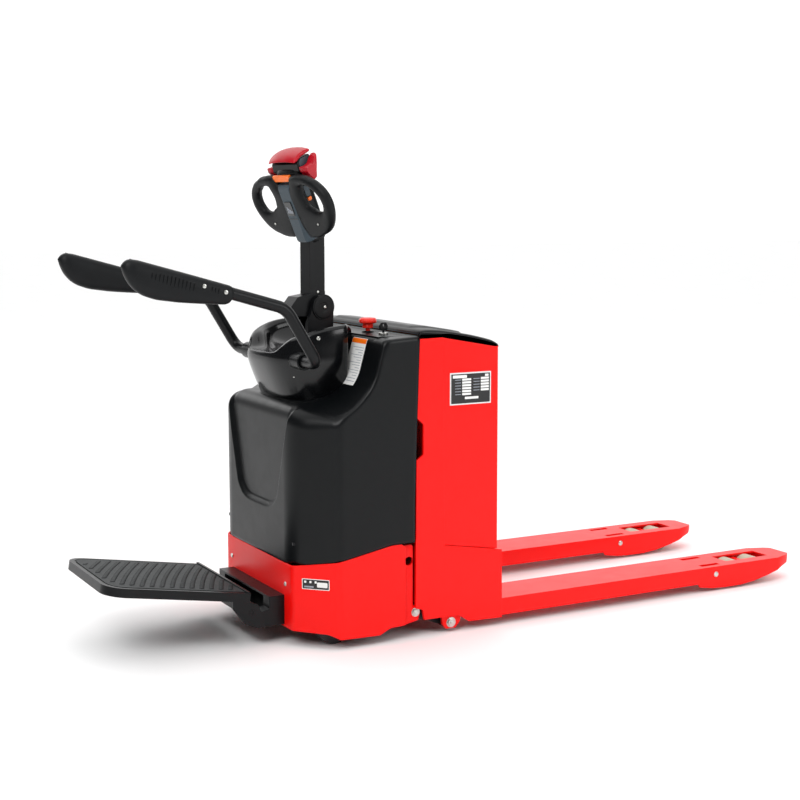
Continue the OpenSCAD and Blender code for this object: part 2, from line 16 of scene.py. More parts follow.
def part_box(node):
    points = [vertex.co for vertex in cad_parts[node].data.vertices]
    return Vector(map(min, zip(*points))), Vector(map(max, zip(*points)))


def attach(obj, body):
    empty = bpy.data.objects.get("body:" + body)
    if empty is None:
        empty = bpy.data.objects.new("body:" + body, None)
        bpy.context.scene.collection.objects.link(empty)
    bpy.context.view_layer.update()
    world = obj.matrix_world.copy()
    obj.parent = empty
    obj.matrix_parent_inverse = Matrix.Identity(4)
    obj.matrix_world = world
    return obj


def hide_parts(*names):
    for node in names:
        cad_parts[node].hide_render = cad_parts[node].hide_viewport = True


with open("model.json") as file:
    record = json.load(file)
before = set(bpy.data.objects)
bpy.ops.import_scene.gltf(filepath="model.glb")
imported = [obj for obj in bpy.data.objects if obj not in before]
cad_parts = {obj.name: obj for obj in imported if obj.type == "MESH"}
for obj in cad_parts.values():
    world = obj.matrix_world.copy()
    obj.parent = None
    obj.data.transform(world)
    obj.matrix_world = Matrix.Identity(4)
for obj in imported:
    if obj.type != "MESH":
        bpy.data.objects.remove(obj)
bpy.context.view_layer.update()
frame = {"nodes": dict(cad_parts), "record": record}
scene = bpy.context.scene

# ---------------------------------------------------------------- drawing frames and sizes
MM = 0.001
FORK_REACH = 1220
STEER_BACK = 440
HALF_W = 352
NOSE_X = 640
NOSE_HALF = 248
SKIRT_T = 6
ARM_HALF = 300
ARM_PIVOT = (-575, 828)
ARM_ELBOW = (-672, 990)
ARM_RISE = math.radians(16)
HEAD_LEAN = math.radians(24.8)
STEER_TURN = math.radians(8)
TREAD_TILT = math.radians(9.2)

box_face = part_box("fork_left")[1].x - FORK_REACH * MM
DATUM = Matrix.Translation((box_face, 0, 0)) @ Matrix.Scale(MM, 4)
STEERING = DATUM @ Matrix.Translation((-STEER_BACK, 0, 0)) @ Matrix.Rotation(STEER_TURN, 4, "Z")
HEAD = STEERING @ Matrix.Translation((-15, 0, 1200)) @ Matrix.Rotation(-HEAD_LEAN, 4, "Y")
TREAD = DATUM @ Matrix.Translation((-750, 0, 164)) @ Matrix.Rotation(TREAD_TILT, 4, "Y")
ROW = Matrix.Identity(4)
AIM = {  # turns local +Z to the named direction
    "-x": Matrix.Rotation(math.radians(-90), 4, "Y"),
    "+x": Matrix.Rotation(math.radians(90), 4, "Y"),
    "-y": Matrix.Rotation(math.radians(90), 4, "X"),
    "+y": Matrix.Rotation(math.radians(-90), 4, "X"),
    "+z": Matrix.Identity(4),
}
SIDES = {"left": 1, "right": -1}

record = frame["record"]
SLOT_OF = {part["node"]: part["material_slot"] for part in record["subparts"]}
BODY_OF = {node: body for body, nodes in record["behaviour"]["bodies"].items() for node in nodes}


# ---------------------------------------------------------------- materials
def srgb(r, g, b):
    """Linear colour of a display colour with 0 to 255 channels."""
    return tuple(((c / 255 + 0.055) / 1.055) ** 2.4 if c > 10 else c / 3294.6 for c in (r, g, b))


def scaled(color, k):
    return tuple(min(c * k, 1) for c in color) + (1,)


def surface(name, color, rough, *, metal=0.0, specular=0.5, grain="noise", grain_size=1.0, depth=0.05,
            mottle=0.06, patch=60.0, rough_spread=0.06):
    """A finish with patchy colour, uneven roughness and a fine relief. Sizes and depth are in millimetres."""
    mat = bpy.data.materials.new(name)
    mat.use_nodes = True
    nodes, links = mat.node_tree.nodes, mat.node_tree.links
    shader = nodes["Principled BSDF"]
    shader.inputs["Metallic"].default_value = metal
    shader.inputs["Specular IOR Level"].default_value = specular
    place = nodes.new("ShaderNodeTexCoord").outputs["Object"]

    def noise(size, detail, distortion=0.0):
        node = nodes.new("ShaderNodeTexNoise")
        node.inputs["Scale"].default_value = 1 / (size * MM)
        node.inputs["Detail"].default_value = detail
        node.inputs["Distortion"].default_value = distortion
        links.new(place, node.inputs["Vector"])
        return node.outputs["Fac"]

    tone = nodes.new("ShaderNodeValToRGB")
    tone.color_ramp.elements[0].position = 0.3
    tone.color_ramp.elements[1].position = 0.7
    tone.color_ramp.elements[0].color = scaled(color, 1 - mottle)
    tone.color_ramp.elements[1].color = scaled(color, 1 + mottle)
    links.new(noise(patch, 4), tone.inputs["Fac"])
    links.new(tone.outputs["Color"], shader.inputs["Base Color"])

    uneven = nodes.new("ShaderNodeMapRange")
    uneven.inputs["To Min"].default_value = max(rough - rough_spread, 0.03)
    uneven.inputs["To Max"].default_value = min(rough + rough_spread, 1.0)
    links.new(noise(patch / 4, 6, 0.4), uneven.inputs["Value"])
    links.new(uneven.outputs["Result"], shader.inputs["Roughness"])

    if grain == "cells":
        cells = nodes.new("ShaderNodeTexVoronoi")
        cells.inputs["Scale"].default_value = 1 / (grain_size * MM)
        links.new(place, cells.inputs["Vector"])
        height = cells.outputs["Distance"]
    elif grain == "brushed":
        stretch = nodes.new("ShaderNodeMapping")
        stretch.inputs["Scale"].default_value = (0.06, 1, 1)
        links.new(place, stretch.inputs["Vector"])
        lines = nodes.new("ShaderNodeTexNoise")
        lines.inputs["Scale"].default_value = 1 / (grain_size * MM)
        links.new(stretch.outputs["Vector"], lines.inputs["Vector"])
        height = lines.outputs["Fac"]
    else:
        height = noise(grain_size, 3)
    bump = nodes.new("ShaderNodeBump")
    bump.inputs["Strength"].default_value = 0.6
    bump.inputs["Distance"].default_value = depth * MM
    links.new(height, bump.inputs["Height"])
    links.new(bump.outputs["Normal"], shader.inputs["Normal"])
    return mat


RED = srgb(246, 14, 10)
LOOKS = {
    "red_paint": surface("red_enamel", RED, 0.32, specular=0.2, grain_size=4.0, depth=0.06, mottle=0.02,
                         patch=220),
    "black_paint": surface("black_enamel", srgb(11, 12, 14), 0.34, specular=0.22, grain_size=2.5, depth=0.06,
                           mottle=0.12),
    "cover_plastic": surface("moulded_cover", srgb(6, 8, 10), 0.34, specular=0.22, grain="cells",
                             grain_size=0.8, depth=0.03, mottle=0.12, patch=180),
    "cowl_plastic": surface("gloss_cowl", srgb(7, 8, 10), 0.16, specular=0.34, grain_size=60, depth=0.25,
                            mottle=0.08, patch=120, rough_spread=0.04),
    "zinc": surface("zinc_plate", srgb(205, 205, 200), 0.30, metal=1.0, grain="brushed", grain_size=0.6,
                    depth=0.02, mottle=0.1, patch=6),
    "cast": surface("cast_metal", srgb(70, 72, 75), 0.62, metal=0.6, grain_size=1.2, depth=0.18, mottle=0.2,
                    patch=25),
    "grip_rubber": surface("grip_skin", srgb(12, 14, 16), 0.48, specular=0.2, grain="cells", grain_size=0.7,
                           depth=0.04, mottle=0.15, patch=40),
    "mat_rubber": surface("mat_rubber", srgb(38, 41, 42), 0.62, specular=0.3, grain_size=0.8, depth=0.08,
                          mottle=0.22, patch=30, rough_spread=0.12),
    "drive_tyre": surface("drive_polyurethane", srgb(120, 72, 38), 0.5, grain_size=1.5, depth=0.08,
                          mottle=0.2, patch=20),
    "load_tyre": surface("load_polyurethane", srgb(176, 168, 146), 0.42, specular=0.4, grain_size=2.0,
                         depth=0.06, mottle=0.12, patch=14, rough_spread=0.1),
    "caster_tyre": surface("caster_rubber", srgb(52, 52, 54), 0.6, grain_size=1.0, depth=0.08, mottle=0.2,
                           patch=15),
    "head_grey": surface("head_shell", srgb(56, 68, 76), 0.42, specular=0.3, grain="cells", grain_size=0.6,
                         depth=0.03, mottle=0.06, patch=30),
    "crimson": surface("crimson_button", srgb(176, 10, 30), 0.34, specular=0.3, grain_size=8, depth=0.04,
                       mottle=0.06, patch=25),
    "orange": surface("orange_button", srgb(246, 112, 12), 0.35, grain_size=6, depth=0.03, mottle=0.05,
                      patch=12),
    "stop_red": surface("stop_button_red", srgb(232, 36, 20), 0.28, grain_size=6, depth=0.03, mottle=0.05,
                        patch=12),
    "display": surface("display_glass", srgb(16, 20, 22), 0.10, specular=0.6, grain_size=30, depth=0.02,
                       mottle=0.05, patch=20, rough_spread=0.02),
    "battery_case": surface("battery_case", srgb(40, 42, 46), 0.6, grain="cells", grain_size=1.0,
                            depth=0.05, mottle=0.15),
    "alloy": surface("bare_alloy", srgb(190, 192, 195), 0.38, metal=1.0, grain="brushed", grain_size=0.8,
                     depth=0.03, mottle=0.08, patch=20),
    "plate_metal": surface("plate_alloy", srgb(215, 216, 218), 0.34, metal=0.7, grain="brushed",
                           grain_size=0.5, depth=0.02, mottle=0.05, patch=15),
}
LABEL_WHITE = surface("label_white", srgb(232, 232, 230), 0.45, grain_size=0.6, depth=0.01,
                      mottle=0.03, patch=8)
LABEL_BLACK = surface("label_black", srgb(18, 18, 20), 0.35, grain_size=0.6, depth=0.01,
                      mottle=0.1, patch=8)
LABEL_GREY = surface("label_grey", srgb(150, 155, 165), 0.5, grain_size=0.6, depth=0.01,
                     mottle=0.08, patch=5)


# ---------------------------------------------------------------- outlines
def rounded(points, radius, closed=True, steps=5):
    """The points with each corner turned into a curve. The radius is one number, or one for each corner."""
    points = [Vector(p) for p in points]
    n = len(points)
    radii = radius if hasattr(radius, "__len__") else [radius] * n
    out = []
    for i, (p, r) in enumerate(zip(points, radii)):
        if (not closed and i in (0, n - 1)) or r <= 0:
            out.append(p)
            continue
        a, b = points[i - 1] - p, points[(i + 1) % n] - p
        half = a.angle(b) / 2
        reach = min(r / math.tan(half), 0.49 * a.length, 0.49 * b.length) if half < 1.56 else 0
        start, end = p + a.normalized() * reach, p + b.normalized() * reach
        for s in range(steps + 1):
            t = s / steps
            out.append(start * (1 - t) ** 2 + p * (2 * t * (1 - t)) + end * t * t)
    return out


def smooth_line(points, count):
    """Evenly numbered points of a smooth curve through the given ones."""
    pts = np.array(points, float)
    pts = np.vstack([2 * pts[0] - pts[1], pts, 2 * pts[-1] - pts[-2]])
    out = []
    for s in np.linspace(0, len(points) - 1 - 1e-9, count):
        i, t = int(s), s - int(s)
        a, b, c, d = pts[i:i + 4]
        out.append(0.5 * (2 * b + (c - a) * t + (2 * a - 5 * b + 4 * c - d) * t ** 2
                          + (3 * b - a - 3 * c + d) * t ** 3))
    return out


def circle(r, n=32, centre=(0, 0)):
    turns = [2 * math.pi * i / n for i in range(n)]
    return [(centre[0] + r * math.cos(a), centre[1] + r * math.sin(a)) for a in turns]


def rectangle(left, bottom, right, top):
    return [(left, bottom), (right, bottom), (right, top), (left, top)]


def superellipse(a, b, power, n=28):
    """Points of a rounded box section with half sizes a and b."""
    out = []
    for i in range(n):
        t = 2 * math.pi * i / n
        c, s = math.cos(t), math.sin(t)
        out.append((a * math.copysign(abs(c) ** (2 / power), c), b * math.copysign(abs(s) ** (2 / power), s)))
    return out


PLANES = {  # how a point of a flat outline and its height become x, y, z
    "side": lambda u, v, h: (u, h, v),
    "front": lambda u, v, h: (h, u, v),
    "plan": lambda u, v, h: (u, v, h),
}


# ---------------------------------------------------------------- meshes
def loft(rings, ends=True, round_trip=False):
    """Skin over rings of points with the same count."""
    bm = bmesh.new()
    rows = [[bm.verts.new(p) for p in ring] for ring in rings]
    pairs = list(zip(rows, rows[1:]))
    if round_trip:
        pairs.append((rows[-1], rows[0]))
    for a, b in pairs:
        for i in range(len(a)):
            j = (i + 1) % len(a)
            bm.faces.new((a[i], a[j], b[j], b[i]))
    if ends and not round_trip:
        bm.faces.new(rows[0])
        bm.faces.new(rows[-1])
    return bm


def prism(outline, low, high, plane="side"):
    put = PLANES[plane]
    return loft([[put(*p, h) for p in outline] for h in (low, high)])


def lathe(profile, steps=40):
    """Solid of revolution about Z. The profile's (radius, height) points run from one end to the other."""
    rings = [[(max(r, 0.01) * math.cos(a), max(r, 0.01) * math.sin(a), h)
              for a in (2 * math.pi * i / steps for i in range(steps))] for r, h in profile]
    return loft(rings)


def sweep(path, section, start_up=(0, 1, 0)):
    """Carries a section along a path."""
    path = [Vector(p) for p in path]
    rings, up = [], Vector(start_up)
    for i, p in enumerate(path):
        along = (path[min(i + 1, len(path) - 1)] - path[max(i - 1, 0)]).normalized()
        up = (up - along * up.dot(along)).normalized()
        across = along.cross(up)
        rings.append([p + across * u + up * v for u, v in section])
    return loft(rings)


def plate(outline, holes, low, high, plane="side", edge=1.0):
    """Flat plate with holes and rounded edges."""
    curve = bpy.data.curves.new("plate", "CURVE")
    curve.dimensions, curve.fill_mode = "2D", "BOTH"
    curve.extrude, curve.bevel_depth = (high - low) / 2 - edge, edge
    curve.bevel_resolution, curve.offset = 2, -edge
    for ring in [outline, *holes]:
        spline = curve.splines.new("POLY")
        spline.points.add(len(ring) - 1)
        for point, uv in zip(spline.points, ring):
            point.co = (uv[0], uv[1], 0, 1)
        spline.use_cyclic_u = True
    holder = bpy.data.objects.new("plate", curve)
    mesh = bpy.data.meshes.new_from_object(holder)
    bpy.data.objects.remove(holder)
    bm = bmesh.new()
    bm.from_mesh(mesh)
    bmesh.ops.remove_doubles(bm, verts=bm.verts, dist=0.001)
    middle, put = (low + high) / 2, PLANES[plane]
    for v in bm.verts:
        v.co = Vector(put(v.co.x, v.co.y, v.co.z + middle))
    return bm


def joined(*parts):
    """One bmesh from several, each a bmesh or a (bmesh, matrix) pair."""
    out = bmesh.new()
    for part in parts:
        bm, place = part if isinstance(part, tuple) else (part, ROW)
        mesh = bpy.data.meshes.new("part")
        bm.to_mesh(mesh)
        mesh.transform(place)
        if place.determinant() < 0:
            mesh.flip_normals()
        out.from_mesh(mesh)
        bm.free()
        bpy.data.meshes.remove(mesh)
    return out


MIRROR_Y = Matrix.Scale(-1, 4, (0, 1, 0))


def both(make):
    """A shape drawn on the left, with its mirror image on the right."""
    return joined(make(), (make(), MIRROR_Y))


def emit(name, bm, place, look, body, replaces=(), bevel=0.0, segments=3, levels=0,
         thickness=0.0, sharp=35):
    """Finishes a shape drawn in a frame: its material, rounded edges and body."""
    if not thickness:
        bmesh.ops.recalc_face_normals(bm, faces=bm.faces)
    mesh = bpy.data.meshes.new(name)
    bm.to_mesh(mesh)
    bm.free()
    mesh.transform(place)
    mesh.materials.append(LOOKS[look] if isinstance(look, str) else look)
    mesh.polygons.foreach_set("use_smooth", [True] * len(mesh.polygons))
    obj = bpy.data.objects.new(name, mesh)
    scene.collection.objects.link(obj)
    if thickness:
        shell = obj.modifiers.new("thickness", "SOLIDIFY")
        shell.thickness, shell.offset = thickness * MM, -1
    if levels:
        soft = obj.modifiers.new("rounding", "SUBSURF")
        soft.levels = soft.render_levels = levels
    if bevel:
        edge = obj.modifiers.new("edges", "BEVEL")
        edge.width, edge.segments = bevel * MM, segments
        edge.limit_method, edge.angle_limit = "ANGLE", math.radians(30)
        flat = obj.modifiers.new("flat_faces", "WEIGHTED_NORMAL")
        flat.weight = 100
    elif not levels:
        mesh.set_sharp_from_angle(angle=math.radians(sharp))
    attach(obj, body)
    if replaces:
        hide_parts(*replaces)
    return obj


def refine(node, bevel=1.5, look=None):
    """A CAD node with its flat faces cleaned and its edges rounded."""
    bm = bmesh.new()
    bm.from_mesh(frame["nodes"][node].data)
    bmesh.ops.remove_doubles(bm, verts=bm.verts, dist=1e-6)
    bmesh.ops.dissolve_limit(bm, angle_limit=math.radians(0.4), verts=bm.verts, edges=bm.edges)
    slot = SLOT_OF[node]
    return emit(node + "_shown", bm, ROW, look or slot, BODY_OF[node], (node,), bevel, segments=2)


def at(place, point, direction="+z", turn=0.0):
    """The matrix that stands a part on a point, its Z axis along the named direction."""
    return place @ Matrix.Translation(point) @ AIM[direction] @ Matrix.Rotation(turn, 4, "Z")


# ---------------------------------------------------------------- fasteners
def screw_head(r, h):
    """Pan head with a hexagonal socket."""
    profile = [(0, 0), (r, 0), (r, 0.45 * h), (0.86 * r, 0.85 * h), (0.6 * r, h), (0.5 * r, h)]
    bm = lathe(profile, 24)
    socket = loft([[(x, y, z) for x, y in circle(0.5 * r, 6)] for z in (h, 0.35 * h)], ends=False)
    floor = lathe([(0, 0.3 * h), (0.52 * r, 0.36 * h)], 12)
    return joined(bm, socket, floor)


def nut(r, h, washer_r, washer_h, stud_r):
    """Hexagon nut on a washer, with the end of its stud."""
    rises = ((0.94, washer_h), (1, washer_h + 0.15 * h), (1, washer_h + 0.85 * h), (0.9, washer_h + h))
    hexagon = loft([[(x, y, z) for x, y in circle(k * r, 6)] for k, z in rises])
    washer = lathe([(0, 0), (washer_r * 0.96, 0), (washer_r, washer_h / 2), (washer_r * 0.96, washer_h)], 32)
    stud = lathe([(0, washer_h), (stud_r, washer_h), (stud_r, washer_h + h + 1.5),
                  (0.8 * stud_r, washer_h + h + 2.5)], 20)
    return joined(hexagon, washer, stud)


def fasteners():
    zinc = "zinc"
    screws = [((-314, sign * (HALF_W - 4.5), 314), way, 6, 4) for way, sign in (("+y", 1), ("-y", -1))]
    bolts = [((-NOSE_X + 0.5, y, 179), "-x", 7, 4) for y in (-205, 205)]
    emit("cover_fasteners", joined(*[(screw_head(r, h), at(ROW, p, way)) for p, way, r, h in screws + bolts]),
         DATUM, zinc, "chassis", replaces=("cover_screws",))
    for name, sign in SIDES.items():
        way = "+y" if sign > 0 else "-y"
        pivot = joined((screw_head(9, 3.5), at(ROW, (864, sign * 342.5, 58), way)),
                       (screw_head(9, 3), at(ROW, (864, sign * 182.5, 58), "-y" if sign > 0 else "+y")))
        emit("lever_bolts_" + name, pivot, DATUM, zinc, "carriage")
        rocker_end, link_end = (-156, sign * 336, 31), (-278, sign * 335, 78)
        emit("rocker_nut_" + name, nut(13, 6, 16, 2, 6), at(DATUM, rocker_end, way), zinc, "carriage")
        emit("link_nut_" + name, nut(11, 5, 14, 2, 6), at(DATUM, link_end, way), zinc, "chassis")
    emit("tiller_pin_screws", joined((screw_head(5, 3), at(ROW, (3, -46, 972), "-y")),
                                     (screw_head(5, 3), at(ROW, (3, 46, 972), "+y"))),
         STEERING, zinc, "steering")
    emit("tiller_tube_screws", joined((screw_head(4, 2.5), at(ROW, (-9, -27, 1017), "-y")),
                                      (screw_head(4, 2.5), at(ROW, (-9, 27, 1017), "+y"))),
         STEERING, zinc, "tiller")


# ---------------------------------------------------------------- chassis
def interp(x, *pairs):
    return float(np.interp(x, [p[0] for p in pairs], [p[1] for p in pairs]))


def skirt_top(x):
    return interp(x, (-640, 241), (-537, 260), (-364, 292), (-330, 292), (-324, 289), (-320, 282))


def skirt_bottom(x):
    return interp(x, (-640, 48), (-560, 45), (-531, 31), (-404, 28), (-370, 45), (-308, 48))


def skirt_outline(inset, rear=-320):
    """Plan of the skirt from its right rear end round the nose to the left, as even points."""
    c = inset * math.tan(math.radians(22.5))
    corners = [(rear, -HALF_W + inset), (-537 + c, -HALF_W + inset), (-NOSE_X + inset, -NOSE_HALF + c),
               (-NOSE_X + inset, NOSE_HALF - c), (-537 + c, HALF_W - inset), (rear, HALF_W - inset)]
    line = rounded(corners, 34 - inset, closed=False, steps=8)
    out = []
    for a, b in zip(line, line[1:]):
        pieces = max(1, round((b - a).length / 12))
        out += [a + (b - a) * i / pieces for i in range(pieces)]
    return out + [line[-1]]


def chassis_skirt():
    outer, inner = skirt_outline(0), skirt_outline(SKIRT_T)
    count = min(len(outer), len(inner))
    outer, inner = ([line[round(i * (len(line) - 1) / (count - 1))] for i in range(count)]
                    for line in (outer, inner))
    rings = []
    for o, i in zip(outer, inner):
        low, high = skirt_bottom(o.x), skirt_top(o.x)
        rings.append([(o.x, o.y, low), (o.x, o.y, high), (i.x, i.y, high), (i.x, i.y, low)])
    emit("skirt", loft(rings), DATUM, "red_paint", "chassis", replaces=("chassis_skirt",), bevel=1.6)
    lug = rounded([(-330, 40), (-268, 52), (-262, 78), (-268, 92), (-286, 100), (-286, 284), (-330, 284)],
                  [0, 4, 12, 6, 6, 10, 0])
    holes = [circle(8, centre=(-278, 78)), circle(13, centre=(-300, 235))]
    emit("link_lugs", both(lambda: plate(lug, holes, 325, 335)), DATUM, "red_paint", "chassis")


# Fields are negative inside the shape, zero on its surface and positive outside
def smooth_max(a, b, k):
    h = np.maximum(k - np.abs(a - b), 0) / k
    return np.maximum(a, b) + h * h * k / 4


def smooth_min(a, b, k):
    return -smooth_max(-a, -b, k)


def ease(low, high, x):
    t = np.clip((x - low) / (high - low), 0, 1)
    return t * t * (3 - 2 * t)


def cover_field(p):
    """The moulded cover: a low nose with a recessed front panel and a tall block behind it."""
    x, side, z = p[:, 0], np.abs(p[:, 1]), p[:, 2]
    panel_half = np.interp(z, (385, 400, 430, 705), (108, 132, 150, 236))
    recess = 13 * ease(0, 16, smooth_min(panel_half - side, z - 385, 60))
    walls = smooth_max(-NOSE_X + recess - x, (side - x - 888.5) * 0.7071, 38)
    walls = smooth_max(walls, side - HALF_W, 14)
    ridge = np.interp(x, (-640, -600, -537, -490, -428, -380), (700, 706, 710, 722, 752, 775))
    slope = np.interp(x, (-537, -428), (0.25, 0.03))
    roof = z - ridge + slope * np.maximum(side - 200, 0)
    tray = np.maximum(np.abs(x + 337) - 41, side - 292)
    top = z - 894 - 0.06 * (x + 389) + 9 * ease(0, 4, -tray)
    face = -0.962 * (x + 428) + 0.272 * (z - 750)
    above = smooth_min(roof, smooth_max(face, top, 16), 46)
    return smooth_max(walls, above, np.interp(x, (-600, -500), (46, 14)))


COVER_CENTRE = np.array((-400.0, 0.0, 480.0))


def onto_field(field, points, centre, near=0.4, far=1.7):
    """Moves points along their rays from the centre onto the surface of a field."""
    rays = points - centre
    low, high = np.full(len(points), near), np.full(len(points), far)
    for _ in range(34):
        mid = (low + high) / 2
        outside = field(centre + rays * mid[:, None]) > 0
        high, low = np.where(outside, mid, high), np.where(outside, low, mid)
    return centre + rays * ((low + high) / 2)[:, None]


def cover_columns():
    """Plan points round the cover, close together at the bends and at the step behind the shoulders."""
    line = [(-275, -HALF_W)]
    stops = [(-275, -352), (-389, -352), (-432, -352), (-520, -352), (-537, -352), (-560, -329), (-617, -271),
             (-640, -248), (-640, -232), (-640, -100), (-640, 100), (-640, 232), (-640, 248), (-617, 271),
             (-560, 329), (-537, 352), (-520, 352), (-432, 352), (-389, 352), (-275, 352)]
    gaps = [9, 3, 9, 3, 4, 8, 4, 4, 3, 9, 3, 4, 4, 8, 4, 3, 9, 3, 9]
    for a, b, gap in zip(stops, stops[1:], gaps):
        a, b = Vector(a), Vector(b)
        n = round((b - a).length / gap)
        line += [tuple(a + (b - a) * (i + 1) / n) for i in range(n)]
    return line


def front_cover():
    columns = cover_columns()
    wall = np.linspace(0, 1, 112) ** 0.85
    inward = np.linspace(0, 1, 46)[1:] ** 1.35
    grid = []
    for x, y in columns:
        low = skirt_top(min(x, -332)) + 1.5
        high = interp(x, (-640, 697), (-537, 672), (-428, 748), (-389, 888), (-273, 900))
        rise = [(x, y, low + (high - low) * t) for t in wall]
        ridge_x = max(x, -480.0)
        ridge_z = interp(x, (-640, 712), (-537, 712), (-428, 752), (-389, 890), (-273, 900))
        grid.append(rise + [(x + (ridge_x - x) * t, y * (1 - t), high + (ridge_z - high) * t)
                            for t in inward])
    rows = len(grid[0])
    grid = np.array(grid, float).reshape(-1, 3)
    block_x, rear_x = -389, -275
    behind = np.maximum(grid[:, 0] - block_x, 0) / (rear_x - block_x)
    grid[:, 0] -= behind * np.interp(grid[:, 2], (424, 900), (14, -1))
    points = onto_field(cover_field, grid, COVER_CENTRE)
    points = points.reshape(len(columns), rows, 3)
    bm = bmesh.new()
    verts = [[bm.verts.new(p) for p in column] for column in points]
    for a, b in zip(verts, verts[1:]):
        for i in range(rows - 1):
            bm.faces.new((a[i], a[i + 1], b[i + 1], b[i]))
    bmesh.ops.remove_doubles(bm, verts=bm.verts, dist=0.05)
    emit("front_cover_shell", bm, DATUM, "cover_plastic", "chassis", replaces=("front_cover",),
         thickness=4, sharp=60)


def cowl_rim(turn):
    """Height of the cowl's rim, by its angle from straight ahead of the operator in degrees."""
    return interp(abs(turn), (0, 838), (13, 842), (27, 872), (38, 892), (62, 908), (92, 930), (120, 924),
                  (150, 910), (180, 903))


def cowl_point(turn, offset, z):
    """A point of the cowl's wall: its angle, how far it lies inside the widest outline, and its height."""
    a = math.radians(turn)
    if abs(turn) <= 90:
        x = -428 - (205 - offset) * abs(math.cos(a)) ** 0.56
        y = (200 - 0.45 * offset) * math.copysign(abs(math.sin(a)) ** 0.75, a)
    else:
        back = (abs(turn) - 90) / 90
        x = -428 + 46 * min(1, 1.6 * back)
        narrowing = interp(back, (0, 1), (0.25, 0.78), (0.6, 0.7), (1, 0))
        y = math.copysign((200 - 0.45 * offset) * narrowing, turn)
    return Vector((x, y, z))


def cowl():
    wall = [(47, 690), (44, 704), (28, 742), (12, 782), (2, 812), (0, 828), (3, 846)]
    lip = [(8, -16), (16, -7), (28, 0), (43, 1), (57, -4), (68, -16), (74, -34)]
    floor = [(118, 842), (84, 841), (60, 841)]
    turns = range(180, -180, -9)
    rings = [[cowl_point(turn, offset, z) for turn in turns] for offset, z in wall]
    for offset, drop in lip:
        lowest = 846 - offset / 10
        rings.append([cowl_point(turn, offset, max(cowl_rim(turn) + drop, lowest)) for turn in turns])
    for r, z in floor:
        around = [(-math.cos(math.radians(turn)), math.sin(math.radians(turn))) for turn in turns]
        rings.append([(-STEER_BACK + r * x, r * y, z) for x, y in around])
    emit("cowl_shell", loft(rings, ends=False), DATUM, "cowl_plastic", "chassis", replaces=("cowl",),
         thickness=4, levels=2)
    spots = [((-520, 189, 892), 62), ((-580, 149, 782), 40)]
    for name, sign in SIDES.items():
        heads = []
        for (x, y, z), aim in spots:
            facing = Matrix.Rotation(math.radians(180 - sign * aim), 4, "Z") @ AIM["+x"]
            heads.append((screw_head(6, 4), Matrix.Translation((x, sign * y, z)) @ facing))
        emit("cowl_screws_" + name, joined(*heads), DATUM, "zinc", "chassis")


def top_tray():
    refine("top_panel", 2.0)
    refine("arm_sockets", 3.0)
    head = [(0, 0), (7, 0), (7, 12.5), (16, 12.5), (16, 26), (24, 27), (27, 31), (27, 37), (23, 42.5),
            (14, 44), (0, 44)]
    emit("stop_button", lathe(rounded(head, 2.0, closed=False, steps=3), 48),
         at(DATUM, (-326, -125, 898)), "stop_red", "emergency_stop", replaces=("emergency_stop_button",))
    base = rounded([(0, 0), (19, 0), (19, 3), (15, 6), (8.5, 6)], 1.2, closed=False, steps=3)
    emit("stop_collar", lathe(base, 40), at(DATUM, (-326, -125, 897)), "cover_plastic",
         "chassis", replaces=("emergency_stop_base",))
    refine("key_switch", 1.0)
    bow = plate(rounded([(-12, 8), (12, 8), (14, 22), (8, 32), (-8, 32), (-14, 22)], 6),
                [circle(3.5, centre=(0, 24))], -3.5, 3.5, edge=1.4)
    shank = lathe([(0, -6), (3.4, -6), (3.4, 10), (0, 10)], 20)
    emit("key_bow", joined(bow, shank), at(DATUM, (-326, -225, 902)), "cover_plastic", "ignition_key",
         replaces=("key",))


def label(name, width, height, blocks, place, body):
    """A sticker that lies in its place's XY plane. Blocks are (left, bottom, right, top, material) shares."""
    thickness, border = 0.5, 2.0
    w, h = width - 2 * border, height - 2 * border
    edge = rounded(rectangle(-width / 2, -height / 2, width / 2, height / 2), 3)
    emit(name + "_edge", prism(edge, 0, thickness, "plan"), place, LABEL_WHITE, body)
    field = rounded(rectangle(-w / 2, -h / 2, w / 2, h / 2), 2)
    emit(name + "_field", prism(field, thickness, thickness + 0.2, "plan"), place, LABEL_BLACK, body)
    for look in {id(b[4]): b[4] for b in blocks}.values():
        parts = []
        for left, bottom, right, top, own in blocks:
            if own is look:
                xs, ys = [(left - 0.5) * w, (right - 0.5) * w], [(bottom - 0.5) * h, (top - 0.5) * h]
                corner = min(xs[1] - xs[0], ys[1] - ys[0]) * 0.2
                block = rounded(rectangle(xs[0], ys[0], xs[1], ys[1]), corner, steps=2)
                parts.append(prism(block, thickness + 0.2, thickness + 0.35, "plan"))
        emit(name + "_" + look.name, joined(*parts), place, look, body)


